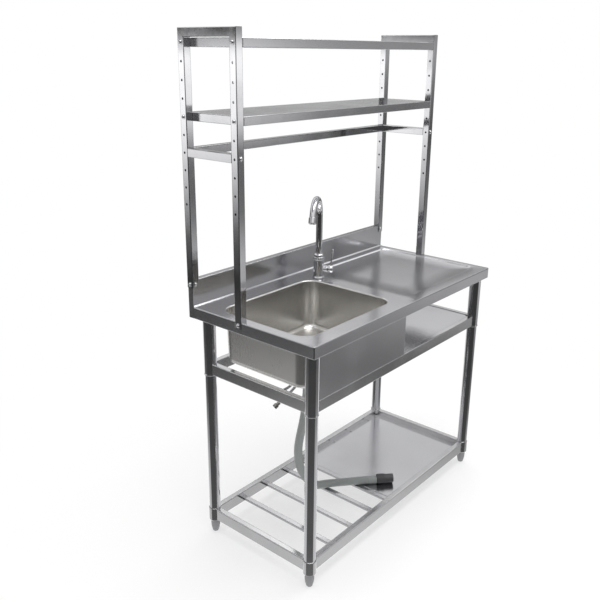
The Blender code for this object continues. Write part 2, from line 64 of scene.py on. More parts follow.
# Legs, rails and lower shelves.
LEG_X, LEG_Y = 0.468, {"front": -0.2175, "back": 0.195}
SIDE = {"left": -1, "right": 1}
UPPER_R, LOWER_R, SLEEVE_R = 0.0200, 0.01825, 0.0205
RAIL_W, RAIL_T = 0.020, 0.0015
LEVELS = {"mid": (0.580, 0.617, UPPER_R), "low": (0.050, 0.090, SLEEVE_R)}
RAIL_INNER_FRONT, RAIL_INNER_BACK = -0.2072, 0.1847
MID_TOP, MID_LEFT = 0.6150, -0.010
LOW_TOP, LOW_LEFT = 0.0720, -0.019
SLAT_X, SLAT_HALF = (-0.342, -0.229, -0.116, -0.0285), 0.009
HOLE_X, HOLE_Y, HOLE_R = (0.150, 0.260, 0.380), 0.172, 0.0032
FOLD = 0.0012
APRON_X, APRON_Z, APRON_RETURN = (-0.4475, -0.012), (0.6173, 0.7982), 0.0150

# Overshelf.
POST_OUT, POST = 0.5020, 0.025
POST_Y = {"front": 0.0230, "back": 0.2250}
TRAYS = {"tray_mid": 1.379, "tray_top": 1.579}
TRAY_X, TRAY_FRONT, TRAY_BACK, TRAY_H = 0.4767, 0.0230, 0.2500, 0.025
BRACE_MIDDLE_Z = 1.2675
TRAY_BOLT_Z, FRONT_TAB_Z, BACK_TAB_Z = (1.5664, 1.3664), 0.7885, 0.8705

# Tap.
TAP = np.array((-0.008, 0.138, 0.0))
AIM = np.array((WASTE[0] - TAP[0], WASTE[1] - TAP[1], 0.0))
AIM /= np.linalg.norm(AIM)
HANDLE = np.array((-AIM[1], AIM[0], 0.0))
SPOUT_AIM = np.array((-0.8755, -0.4834, 0.0))
SPOUT_AIM /= np.linalg.norm(SPOUT_AIM)
SPOUT_SIDE = np.array((-SPOUT_AIM[1], SPOUT_AIM[0], 0.0))
UP = np.array((0.0, 0.0, 1.0))
STUB_Z, SHANK_END_Z = 0.832, 0.765
SPOUT_R, ARC_R, ARC_Z, ARC_TURN = 0.011, 0.062, 1.022, 155
SPOUT_TAIL = 0.012
HUB_R, HUB_REACH, HUB_HALF = 0.0138, 0.0400, 0.0095

# Hoses.
HOSE_R, HOSE_PITCH, HOSE_DEPTH, HOSE_CUFF = 0.0140, 0.0050, 0.0011, 0.030
COUPLING_R, COUPLING_LIFT = 0.0168, 0.0030
SUPPLY_R = 0.0045

# Points along one side of every rectangular outline.
SIDE_STEPS = 24


# ---------------------------------------------------------------- camera

def place_camera():
    """A camera beyond the bench's front left corner, at the overshelf's height, looking down."""
    data = bpy.data.cameras.new("camera")
    data.lens = 43.6035
    data.sensor_width = 36.0
    data.shift_x = -0.0107
    data.shift_y = -0.0260
    data.clip_end = 60
    camera = bpy.data.objects.new("camera", data)
    bpy.context.scene.collection.objects.link(camera)
    yaw, pitch, roll = (math.radians(a) for a in (-50.0613, -17.8501, 0.6291))
    ahead = Vector((-math.sin(yaw) * math.cos(pitch), math.cos(yaw) * math.cos(pitch), math.sin(pitch)))
    right = Vector((math.cos(yaw), math.sin(yaw), 0))
    above = right.cross(ahead)
    across = right * math.cos(roll) + above * math.sin(roll)
    upright = above * math.cos(roll) - right * math.sin(roll)
    turn = Matrix((across, upright, -ahead)).transposed().to_4x4()
    camera.matrix_world = Matrix.Translation((-1.8791, -1.3743, 1.5483)) @ turn
    bpy.context.scene.camera = camera


place_camera()


# ---------------------------------------------------------------- shapes

def unit(v):
    """Vectors scaled to length one."""
    v = np.asarray(v, float)
    return v / np.linalg.norm(v, axis=-1, keepdims=True)


def turned(profile, foot=(0, 0, 0), axis=(0, 0, 1), sides=64):
    """foot + height * axis + radius * (cos t, sin t) across the axis, for each (radius, height)."""
    profile = np.asarray(profile, float)
    axis = unit(axis)
    across = unit(np.cross(axis, (1, 0, 0) if abs(axis[0]) < 0.8 else (0, 1, 0)))
    other = np.cross(axis, across)
    t = np.linspace(0, 2 * np.pi, sides, endpoint=False)[:, None]
    out = np.cos(t) * across + np.sin(t) * other
    grid = np.asarray(foot, float) + profile[:, 1, None, None] * axis + profile[:, 0, None, None] * out
    return grid, True


def carried(path, radii, guide, sides=32):
    """Circles of the given radii set square across a path; guide fixes their turn."""
    path = np.asarray(path, float)
    radii = np.broadcast_to(np.asarray(radii, float), len(path))
    along = unit(np.gradient(path, axis=0))
    side = unit(np.cross(along, guide))
    up = np.cross(side, along)
    t = np.linspace(0, 2 * np.pi, sides, endpoint=False)[None, :, None]
    ring = np.cos(t) * side[:, None] + np.sin(t) * up[:, None]
    return path[:, None] + radii[:, None, None] * ring, True


def capped(surface):
    """The same surface with its first and last rings drawn in to their middles."""
    grid, around = surface
    first, last = grid[:1].mean(axis=1, keepdims=True), grid[-1:].mean(axis=1, keepdims=True)
    wide = (1, grid.shape[1], 1)
    return np.concatenate((np.tile(first, wide), grid, np.tile(last, wide))), around


def soften(points, radius, steps=5):
    """A line with each inner corner replaced by a quadratic curve of about that radius.

    A point beside each curve keeps the straight runs flat where they are long.
    """
    points = np.asarray(points, float)
    radius = np.broadcast_to(radius, len(points))
    t = np.linspace(0, 1, steps)[:, None]
    line = [points[:1]]
    for before, corner, after, reach in zip(points, points[1:], points[2:], radius[1:]):
        back, on = before - corner, after - corner
        start = corner + back * min(reach / np.linalg.norm(back), 0.49)
        end = corner + on * min(reach / np.linalg.norm(on), 0.49)
        beside = [corner + (start - corner) * 1.02, corner + (end - corner) * 1.02]
        curve = (1 - t) ** 2 * start + 2 * t * (1 - t) * corner + t ** 2 * end
        line.append(np.concatenate((beside[:1], curve, beside[1:])))
    line.append(points[-1:])
    return np.concatenate(line)


def smooth(route, spacing):
    """Even points along a Catmull-Rom curve through the route's points."""
    route = np.array(route, float)
    ends = np.vstack((2 * route[0] - route[1], route, 2 * route[-1] - route[-2]))
    t = np.linspace(0, 1, 40, endpoint=False)[:, None]
    pieces = []
    for a, b, c, d in zip(ends, ends[1:], ends[2:], ends[3:]):
        pieces.append(0.5 * (2 * b + (c - a) * t + (2 * a - 5 * b + 4 * c - d) * t ** 2
                             + (3 * b - a - 3 * c + d) * t ** 3))
    fine = np.vstack(pieces + [route[-1:]])
    run = np.concatenate(([0], np.cumsum(np.linalg.norm(np.diff(fine, axis=0), axis=1))))
    even = np.linspace(0, run[-1], max(2, round(run[-1] / spacing)) + 1)
    return np.column_stack([np.interp(even, run, fine[:, i]) for i in range(3)])


def spread(start, end):
    """Even places along a side, with one extra place close to each end."""
    places = np.linspace(start, end, SIDE_STEPS + 1)
    near = 0.0004 * np.sign(end - start)
    places[1], places[-2] = start + near, end - near
    return places


def ring_of(x0, x1, y0, y1, radius=None):
    """A rectangle's outline from corner to corner, SIDE_STEPS points a side.

    With a radius each side is an eighth turn, a straight run and an eighth turn; without one
    the points are spread evenly, so that neighbouring rectangles share their edge's points.
    """
    middle = np.array(((x0 + x1) / 2, (y0 + y1) / 2))
    half = np.array(((x1 - x0) / 2, (y1 - y0) / 2))
    part = SIDE_STEPS // 4
    points = []
    for along, out in (((1, 0), (0, -1)), ((0, 1), (1, 0)), ((-1, 0), (0, 1)), ((0, -1), (-1, 0))):
        along, out = np.array(along, float), np.array(out, float)
        reach, depth = abs(half @ along), abs(half @ out)
        if radius is None:
            a = spread(-reach, reach)[:-1]
            b = np.full(SIDE_STEPS, depth)
        else:
            turn = np.radians(np.linspace(-45, 0, part + 1))[:-1]
            run = np.linspace(-reach + radius, reach - radius, SIDE_STEPS - 2 * part + 1)[:-1]
            run[1] = run[0] + 0.0006
            run[-1] = reach - radius - 0.0006
            a = np.concatenate((-reach + radius + radius * np.sin(turn), run,
                                reach - radius + radius * np.sin(turn + np.radians(45))))
            low = depth - radius + radius * np.cos(turn)
            high = depth - radius + radius * np.cos(turn + np.radians(45))
            b = np.concatenate((low, np.full(len(run), depth), high))
        points.append(middle + a[:, None] * along + b[:, None] * out)
    return np.concatenate(points)


def raised(outline, height):
    """A flat outline lifted to a height."""
    return np.column_stack((outline, np.full(len(outline), height)))


def centre_fill(ring):
    """A ring drawn in to its middle in three steps."""
    middle = ring.mean(axis=0)
    return [middle + (ring - middle) * s for s in (0.66, 0.33, 0.0)]


def grid_faces(rows, cols, around):
    """Corner numbers and pattern places of a grid's quads, closed across the columns if around."""
    i, j = np.meshgrid(np.arange(rows - 1), np.arange(cols if around else cols - 1), indexing="ij")
    i, j = i.ravel(), j.ravel()
    k = (j + 1) % cols
    quads = np.stack((i * cols + j, (i + 1) * cols + j, (i + 1) * cols + k, i * cols + k), axis=1)
    u = np.stack((j, j, j + 1, j + 1), axis=1) / cols
    v = np.stack((i, i + 1, i + 1, i), axis=1) / max(rows - 1, 1)
    return quads, np.stack((u, v), axis=-1)


def sharpen_rims(mesh):
    """Marks a sheet's open edges sharp, so that its cut edges don't tint its faces."""
    used = np.zeros(len(mesh.loops), np.int32)
    mesh.loops.foreach_get("edge_index", used)
    crisp = np.zeros(len(mesh.edges), bool)
    mesh.edges.foreach_get("use_edge_sharp", crisp)
    crisp |= np.bincount(used, minlength=len(mesh.edges)) == 1
    mesh.edges.foreach_set("use_edge_sharp", crisp)


def facing(mesh, direction):
    """The sum of area * (normal . direction) over a mesh's faces."""
    normals = np.zeros(len(mesh.polygons) * 3, np.float32)
    areas = np.zeros(len(mesh.polygons), np.float32)
    mesh.polygons.foreach_get("normal", normals)
    mesh.polygons.foreach_get("area", areas)
    return (normals.reshape(-1, 3) @ np.array(direction, np.float32)) @ areas


def give_wall(made, wall):
    """Thickens a skin against its normals."""
    thick = made.modifiers.new("wall", "SOLIDIFY")
    thick.thickness = wall
    thick.offset = -1
    thick.use_even_offset = True


def piece(name, surfaces, finish, body="bench", nodes=(), wall=0.0, front=None, sharp=32):
    """One mesh object from grids of points.

    Shared points are merged and faces turned outwards, or towards front for an open sheet, which
    gets its wall behind.
    """
    points, faces, places = [], [], []
    base = 0
    for grid, around in surfaces:
        rows, cols = grid.shape[:2]
        quads, place = grid_faces(rows, cols, around)
        points.append(grid.reshape(-1, 3))
        faces.append(quads + base)
        places.append(place)
        base += rows * cols
    mesh = bpy.data.meshes.new(name)
    mesh.from_pydata(np.concatenate(points).tolist(), [], np.concatenate(faces).tolist())
    layer = mesh.uv_layers.new(name="UVMap")
    layer.uv.foreach_set("vector", np.concatenate(places).astype(np.float32).ravel())
    work = bmesh.new()
    work.from_mesh(mesh)
    bmesh.ops.remove_doubles(work, verts=work.verts, dist=2e-6)
    bmesh.ops.dissolve_degenerate(work, edges=work.edges, dist=1e-7)
    bmesh.ops.recalc_face_normals(work, faces=work.faces)
    work.to_mesh(mesh)
    work.free()
    if front and facing(mesh, front) < 0:
        mesh.flip_normals()
    mesh.shade_smooth()
    mesh.set_sharp_from_angle(angle=math.radians(sharp))
    sharpen_rims(mesh)
    mesh.materials.append(FINISH[finish])
    made = bpy.data.objects.new(name, mesh)
    bpy.context.scene.collection.objects.link(made)
    if wall:
        give_wall(made, wall)
    if nodes:
        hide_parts(*nodes)
    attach(made, body)
    return made


# ---------------------------------------------------------------- finishes

def shader_group(name, inputs, outputs):
    """An empty node group with named sockets; returns the group and its two end nodes."""
    group = bpy.data.node_groups.new(name, "ShaderNodeTree")
    for label, kind, value in inputs:
        socket = group.interface.new_socket(label, in_out="INPUT", socket_type=kind)
        if value is not None:
            socket.default_value = value
    for label, kind in outputs:
        group.interface.new_socket(label, in_out="OUTPUT", socket_type=kind)
    return group, group.nodes.new("NodeGroupInput"), group.nodes.new("NodeGroupOutput")


def maths(tree, operation, *values):
    """A Math node fed by sockets or numbers; returns its output."""
    node = tree.nodes.new("ShaderNodeMath")
    node.operation = operation
    for socket, value in zip(node.inputs, values):
        if isinstance(value, (int, float)):
            socket.default_value = value
        else:
            tree.links.new(value, socket)
    return node.outputs[0]


def noise(tree, vector, scale, detail, rough=0.55):
    """A Noise Texture; returns its value output."""
    node = tree.nodes.new("ShaderNodeTexNoise")
    node.inputs["Detail"].default_value = detail
    node.inputs["Roughness"].default_value = rough
    tree.links.new(vector, node.inputs["Vector"])
    if isinstance(scale, (int, float)):
        node.inputs["Scale"].default_value = scale
    else:
        tree.links.new(scale, node.inputs["Scale"])
    return node.outputs[0]


def make_grain_group():
    """Brushing: noise drawn out along one direction, as a 0..1 streak and a height."""
    group, start, end = shader_group(
        "brushed grain",
        [("Vector", "NodeSocketVector", None), ("Draw", "NodeSocketVector", (1.0, 40.0, 40.0)),
         ("Scale", "NodeSocketFloat", 20.0), ("Strength", "NodeSocketFloat", 1.0)],
        [("Streak", "NodeSocketFloat"), ("Height", "NodeSocketFloat")],
    )
    drawn = group.nodes.new("ShaderNodeVectorMath")
    drawn.operation = "MULTIPLY"
    group.links.new(start.outputs["Vector"], drawn.inputs[0])
    group.links.new(start.outputs["Draw"], drawn.inputs[1])
    fine = noise(group, drawn.outputs[0], start.outputs["Scale"], 3.0, 0.6)
    centred = maths(group, "SUBTRACT", fine, 0.5)
    streak = maths(group, "MULTIPLY", centred, start.outputs["Strength"])
    group.links.new(maths(group, "ADD", streak, 0.5), end.inputs["Streak"])
    group.links.new(streak, end.inputs["Height"])
    return group


def make_haze_group():
    """Handling haze: soft cloudy patches, 0 where clean and 1 where dull."""
    group, start, end = shader_group(
        "handling haze",
        [("Vector", "NodeSocketVector", None), ("Scale", "NodeSocketFloat", 5.0),
         ("Amount", "NodeSocketFloat", 0.5)],
        [("Haze", "NodeSocketFloat")],
    )
    cloud = noise(group, start.outputs["Vector"], start.outputs["Scale"], 4.0, 0.6)
    patch = group.nodes.new("ShaderNodeMapRange")
    patch.interpolation_type = "SMOOTHSTEP"
    patch.inputs["From Min"].default_value = 0.42
    patch.inputs["From Max"].default_value = 0.68
    group.links.new(cloud, patch.inputs["Value"])
    group.links.new(maths(group, "MULTIPLY", patch.outputs[0], start.outputs["Amount"]),
                    end.inputs["Haze"])
    return group


GRAIN, HAZE = make_grain_group(), make_haze_group()
HAZE_SHADE = -0.35


def new_material(name):
    """An empty material with a Principled shader; returns it, its tree and the shader."""
    material = bpy.data.materials.new(name)
    material.use_nodes = True
    tree = material.node_tree
    tree.nodes.clear()
    shader = tree.nodes.new("ShaderNodeBsdfPrincipled")
    out = tree.nodes.new("ShaderNodeOutputMaterial")
    tree.links.new(shader.outputs[0], out.inputs["Surface"])
    return material, tree, shader


def use_group(tree, group, vector, **values):
    """A group placed in a material with its own values."""
    node = tree.nodes.new("ShaderNodeGroup")
    node.node_tree = group
    tree.links.new(vector, node.inputs["Vector"])
    for label, value in values.items():
        node.inputs[label].default_value = value
    return node


def blend_colour(tree, factor, dark, light):
    """A colour between two colours by a factor socket."""
    mix = tree.nodes.new("ShaderNodeMix")
    mix.data_type = "RGBA"
    tree.links.new(factor, mix.inputs["Factor"])
    mix.inputs[6].default_value = (*dark, 1)
    mix.inputs[7].default_value = (*light, 1)
    return mix.outputs[2]


def surface_finish(name, colour, metallic, rough, draw=(1, 40, 40), grain=0.10, grain_scale=20.0,
                   haze=0.05, haze_scale=5.0, tone=0.06, relief=0.00002, coat=0.0):
    """A finish with drawn grain and handling haze over a base colour and roughness."""
    material, tree, shader = new_material(name)
    place = tree.nodes.new("ShaderNodeTexCoord").outputs["Object"]
    grains = use_group(tree, GRAIN, place, Draw=draw, Scale=grain_scale, Strength=1.0)
    hazes = use_group(tree, HAZE, place, Scale=haze_scale, Amount=1.0)
    base = np.array(colour)
    shade = maths(tree, "ADD", grains.outputs["Streak"],
                  maths(tree, "MULTIPLY", hazes.outputs["Haze"], HAZE_SHADE))
    tint = blend_colour(tree, shade, tuple(base * (1 - tone)), tuple(np.minimum(base * (1 + tone), 1)))
    tree.links.new(tint, shader.inputs["Base Color"])
    rough_now = maths(tree, "ADD", maths(tree, "MULTIPLY", grains.outputs["Height"], grain),
                      maths(tree, "MULTIPLY_ADD", hazes.outputs["Haze"], haze, rough))
    tree.links.new(maths(tree, "MAXIMUM", rough_now, 0.02), shader.inputs["Roughness"])
    shader.inputs["Metallic"].default_value = metallic
    shader.inputs["Coat Weight"].default_value = coat
    if relief:
        bump = tree.nodes.new("ShaderNodeBump")
        bump.inputs["Strength"].default_value = 1.0
        bump.inputs["Distance"].default_value = relief
        tree.links.new(grains.outputs["Height"], bump.inputs["Height"])
        tree.links.new(bump.outputs[0], shader.inputs["Normal"])
    return material


def braid_finish():
    """Stainless braid: two sets of slanting bands on the hose's own pattern places."""
    material, tree, shader = new_material("hose_braid")
    place = tree.nodes.new("ShaderNodeTexCoord").outputs["UV"]
    split = tree.nodes.new("ShaderNodeSeparateXYZ")
    tree.links.new(place, split.inputs[0])
    bands = []
    for lean in (1, -1):
        turn = maths(tree, "MULTIPLY", split.outputs[0], 8.0 * lean)
        slide = maths(tree, "MULTIPLY_ADD", split.outputs[1], 90.0, turn)
        bands.append(maths(tree, "SINE", maths(tree, "MULTIPLY", slide, 2 * math.pi)))
    weave = maths(tree, "MULTIPLY_ADD", maths(tree, "MAXIMUM", *bands), 0.5, 0.5)
    tree.links.new(blend_colour(tree, weave, (0.18, 0.18, 0.19), (0.62, 0.62, 0.64)),
                   shader.inputs["Base Color"])
    tree.links.new(maths(tree, "MULTIPLY_ADD", weave, -0.2, 0.5), shader.inputs["Roughness"])
    shader.inputs["Metallic"].default_value = 0.9
    bump = tree.nodes.new("ShaderNodeBump")
    bump.inputs["Distance"].default_value = 0.0004
    tree.links.new(weave, bump.inputs["Height"])
    tree.links.new(bump.outputs[0], shader.inputs["Normal"])
    return material


FINISH = {
    "deck_steel": surface_finish("deck_steel", (0.62, 0.62, 0.64), 1.0, 0.18, (1, 60, 60),
                                 grain=0.05, grain_scale=24.0, haze=0.04, haze_scale=2.5,
                                 tone=0.05, relief=0.000004),
    "bowl_steel": surface_finish("bowl_steel", (0.68, 0.67, 0.65), 1.0, 0.26, (50, 50, 2),
                                 grain=0.04, grain_scale=18.0, haze=0.03, haze_scale=1.8,
                                 tone=0.03, relief=0),
    "sheet_steel": surface_finish("sheet_steel", (0.64, 0.64, 0.66), 1.0, 0.17, (1, 60, 60),
                                  grain=0.05, haze=0.05, tone=0.05, relief=0.000004),
    "tube_steel": surface_finish("tube_steel", (0.68, 0.68, 0.70), 1.0, 0.085, (60, 60, 1),
                                 grain=0.04, haze=0.05, haze_scale=9.0, tone=0.04, relief=0.000003),
    "rail_steel": surface_finish("rail_steel", (0.64, 0.64, 0.65), 1.0, 0.14, (2, 2, 50),
                                 grain=0.05, haze=0.06, tone=0.05, relief=0.000004),
    "tap_chrome": surface_finish("tap_chrome", (0.70, 0.70, 0.72), 1.0, 0.05, (8, 8, 8),
                                 grain=0.02, haze=0.03, haze_scale=20.0, tone=0.02, relief=0),
    "foot_plastic": surface_finish("foot_plastic", (0.30, 0.30, 0.31), 0.0, 0.48, (30, 30, 30),
                                   grain=0.10, tone=0.10, relief=0.00005),
    "waste_plastic": surface_finish("waste_plastic", (0.075, 0.075, 0.08), 0.0, 0.42, (30, 30, 30),
                                    grain=0.10, tone=0.12, relief=0.00005),
    "hose_plastic": surface_finish("hose_plastic", (0.31, 0.33, 0.325), 0.0, 0.38, (20, 20, 20),
                                   grain=0.08, tone=0.06, relief=0.00003),
    "hose_braid": braid_finish(),
    "nut_brass": surface_finish("nut_brass", (0.42, 0.41, 0.39), 1.0, 0.22, (20, 20, 20),
                                grain=0.06, relief=0),
}


# ---------------------------------------------------------------- cords

def corrugated(path, radius, pitch, depth, cuff):
    """Radii along a hose: radius - depth where a cosine of the run dips, plain near both ends."""
    run = np.concatenate(([0], np.cumsum(np.linalg.norm(np.diff(path, axis=0), axis=1))))
    wave = 0.5 - 0.5 * np.cos(2 * np.pi * run / pitch)
    plain = np.minimum(run, run[-1] - run) < cuff
    return np.where(plain, radius, radius - depth * wave)


def build_hoses():
    """The waste hose with its coupling, and the two braided supply hoses with their nuts."""
    route = [
        (*WASTE, 0.5594), (*WASTE, 0.5200), (-0.2650, -0.021, 0.4300),
        (-0.2940, -0.021, 0.3250), (-0.2850, -0.020, 0.2500), (-0.2520, -0.012, 0.1950),
        (-0.2050, 0.004, 0.1400), (-0.1600, 0.010, 0.1010), (-0.1100, -0.004, 0.0880),
        (-0.0488, -0.0530, 0.0868), (-0.0120, -0.0830, 0.0868), (0.0247, -0.1167, 0.0868),
    ]
    path = smooth(route, 0.0008)
    radii = corrugated(path, HOSE_R, HOSE_PITCH, HOSE_DEPTH, HOSE_CUFF)
    guide = (0.65, 0.76, 0.0)
    hose = piece("waste_hose_corrugated", [capped(carried(path, radii, guide, 36))], "hose_plastic",
                 nodes=("waste_hose",), sharp=60)
    mouth, along = path[-1] + COUPLING_LIFT * UP, unit((path[-1] - path[-30]) * (1, 1, 0))
    profile = soften([(0, 0.0008), (0.0155, 0.0008), (COUPLING_R, 0.0020), (COUPLING_R, 0.0290),
                      (0.0152, 0.0310), (0.0152, 0.0600), (0.0132, 0.0600), (0.0132, 0.0330),
                      (0, 0.0330)], 0.0006)
    shapes = [turned(profile, mouth, along, 48)]
    for start in 0.006 + 0.0045 * np.arange(5):
        rib = np.array([(0.0166, 0.0), (0.0173, 0.0006), (0.0173, 0.0018), (0.0166, 0.0024),
                        (0.0160, 0.0012), (0.0166, 0.0)]) + (0, start)
        shapes.append(turned(rib, mouth, along, 48))
    coupling = piece("waste_hose_coupling", shapes, "waste_plastic", nodes=("waste_coupling",))

    x, y = TAP[:2]
    routes = {
        "cold": [(x - 0.006, y + 0.004, SHANK_END_Z - 2 * GAP), (x - 0.006, y + 0.004, 0.738),
                 (x - 0.026, y + 0.001, 0.670), (x - 0.034, y - 0.004, 0.600),
                 (-0.100, 0.105, 0.550), (-0.160, 0.055, 0.520), (-0.240, 0.038, 0.502),
                 (-0.280, 0.034, 0.490), (-0.310, 0.047, 0.466)],
        "hot": [(x + 0.006, y + 0.004, SHANK_END_Z - 2 * GAP), (x + 0.006, y + 0.004, 0.738),
                (x - 0.020, y + 0.016, 0.670), (x - 0.028, y + 0.014, 0.600),
                (-0.090, 0.128, 0.545), (-0.150, 0.090, 0.517), (-0.205, 0.072, 0.500),
                (-0.235, 0.071, 0.487), (-0.258, 0.079, 0.479)],
    }
    for name, route in routes.items():
        path = smooth(route, 0.003)
        hose = piece(f"supply_hose_{name}_braid", [capped(carried(path, SUPPLY_R, (0.3, 1.0, 0.2), 24))],
                     "hose_braid", nodes=(f"supply_hose_{name}",), sharp=60)
        end, along = path[-1], unit(path[-1] - path[-5])
        sleeve = soften([(0, 0.0003), (0.0056, 0.0003), (0.0060, 0.0015), (0.0060, 0.0100),
                         (0.0075, 0.0110), (0.0085, 0.0125), (0.0085, 0.0225), (0.0080, 0.0232),
                         (0.0061, 0.0232), (0.0060, 0.0150), (0, 0.0150)], 0.0004)
        nut = piece(f"supply_nut_{name}_turned", [turned(sleeve, end, along, 40)], "nut_brass",
                    nodes=(f"supply_nut_{name}",))


# ---------------------------------------------------------------- worktop

def build_worktop():
    """The deck sheet: flat halves round the bowl and the drain area, a folded fascia, a backsplash."""
    edge = DECK_EDGE
    x0, x1, y0, y1 = -TOP_X + edge, TOP_X - edge, TOP_FRONT + edge, SPLASH_FRONT + 0.0005
    bx0, bx1, by0, by1 = BOWL
    roll = BOWL_ROLL
    opening = ring_of(bx0 - roll, bx1 + roll, by0 - roll, by1 + roll, BOWL_CORNER + roll)
    left = [raised(ring_of(x0, DECK_SPLIT, y0, y1), TOP_Z), raised(opening, TOP_Z)]

    dx0, dx1, dy0, dy1 = DRAIN_AREA
    right = [raised(ring_of(DECK_SPLIT, x1, y0, y1), TOP_Z)]
    for step in np.linspace(0, 1, 9):
        inset = -0.002 + 0.010 * step
        depth = DRAIN_DEPTH * (0.5 - 0.5 * math.cos(math.pi * step))
        outline = ring_of(dx0 + inset, dx1 - inset, dy0 + inset, dy1 - inset, DRAIN_RADIUS - inset)
        right.append(raised(outline, TOP_Z - depth))
    right += centre_fill(right[-1])

    sides = spread(y1, y0)
    fans = np.radians(np.linspace(0, 90, 7))
    first = spread(x0, DECK_SPLIT)
    second = spread(DECK_SPLIT, x1)
    runs = [
        (np.full_like(sides, x0), sides, np.full_like(sides, np.pi)),
        (np.full(7, x0), np.full(7, y0), np.pi + fans),
        (first, np.full_like(first, y0), np.full_like(first, 1.5 * np.pi)),
        (second, np.full_like(second, y0), np.full_like(second, 1.5 * np.pi)),
        (np.full(7, x1), np.full(7, y0), 1.5 * np.pi + fans),
        (np.full_like(sides, x1), sides[::-1], np.full_like(sides, 2 * np.pi)),
    ]
    base_x, base_y, facing = (np.concatenate(part) for part in zip(*runs))
    fold = soften([(0, TOP_Z), (edge, TOP_Z), (edge, FASCIA_Z), (-0.012, FASCIA_Z)],
                  (0, edge, 0.002, 0), 7)
    out, height = fold[:, :1], fold[:, 1:]
    fascia = np.stack((base_x + out * np.cos(facing), base_y + out * np.sin(facing),
                       np.broadcast_to(height, (len(fold), len(base_x)))), axis=-1)
    piece("worktop_deck", [(np.array(left), True), (np.array(right), True), (fascia, False)],
          "deck_steel", nodes=("worktop",), wall=SHEET, front=TOPSIDE)

    x = np.array((-TOP_X, -TOP_X + 0.0006, TOP_X - 0.0006, TOP_X))
    grow = np.array((0.0006, 0.0, 0.0, 0.0006))
    profile = soften([(TOP_BACK, 0.79), (TOP_BACK, FASCIA_Z), (SPLASH_FRONT + 0.002, FASCIA_Z),
                      (SPLASH_FRONT, SPLASH_Z), (TOP_BACK, SPLASH_Z), (TOP_BACK, 0.79)], 0.0018, 6)
    middle = profile.mean(axis=0)
    shrink = unit(middle - profile)[None] * grow[:, None, None]
    rings = profile[None] + shrink
    wall = np.concatenate((np.broadcast_to(x[:, None, None], (4, len(profile), 1)), rings), axis=-1)
    cove = soften([(SPLASH_FRONT + 0.0012, 0.8042), (SPLASH_FRONT + 0.0004, 0.8042),
                   (SPLASH_FRONT + 0.0002, 0.8002), (SPLASH_FRONT - 0.0040, 0.8001),
                   (SPLASH_FRONT - 0.0040, 0.7994)], (0, 0.0001, 0.004, 0.0001, 0), 7)
    cove = np.concatenate((cove, cove[:1]))
    spans = np.broadcast_to(np.array((-0.4995, 0.4995))[:, None, None], (2, len(cove), 1))
    lip = np.concatenate((spans, np.broadcast_to(cove, (2, *cove.shape))), axis=-1)
    piece("worktop_backsplash", [capped((wall, True)), capped((lip, True))], "deck_steel")


def bowl_level(inset, height, blend=0.0, radius=0.0):
    """One level of the bowl: a round-cornered rectangle drawn towards a circle at the waste."""
    x0, x1, y0, y1 = BOWL
    corner = max(BOWL_CORNER - 0.6 * max(inset, 0) - min(inset, 0), 0.004)
    outline = ring_of(x0 + inset, x1 - inset, y0 + inset, y1 - inset, corner)
    turn = np.radians(225) + 2 * np.pi * np.arange(len(outline)) / len(outline)
    circle = np.array(WASTE) + radius * np.column_stack((np.cos(turn), np.sin(turn)))
    return raised(outline + (circle - outline) * blend, height)


def build_bowl():
    """Rolled rim, tapered walls, a rounded foot and a floor that falls to the waste seat."""
    levels = []
    for turn in np.radians(np.linspace(0, 90, 7)):
        levels.append(bowl_level(-BOWL_ROLL * (1 - math.sin(turn)),
                                 TOP_Z - BOWL_ROLL * (1 - math.cos(turn))))
    levels.append(bowl_level(0.002, 0.735))
    for turn in np.radians(np.linspace(0, 90, 13)):
        levels.append(bowl_level(0.004 + BOWL_FILLET * (1 - math.cos(turn)),
                                 BOWL_FILLET_Z - BOWL_FILLET * math.sin(turn)))
    for blend, radius, height in ((0.3, 0.080, 0.6294), (0.6, 0.070, 0.6288), (0.85, 0.058, 0.6279),
                                  (1.0, 0.050, 0.6272), (1.0, 0.044, 0.6264), (1.0, 0.0415, 0.6252),
                                  (1.0, 0.0395, 0.6230), (1.0, 0.0375, SEAT_Z),
                                  (1.0, 0.0255, SEAT_Z - 0.0002)):
        levels.append(bowl_level(0.004 + BOWL_FILLET, height, blend, radius))
    piece("bowl_pressing", [(np.array(levels), True)], "bowl_steel", nodes=("sink_bowl",),
          wall=0.0013, front=TOPSIDE, sharp=50)


# ---------------------------------------------------------------- legs and rails

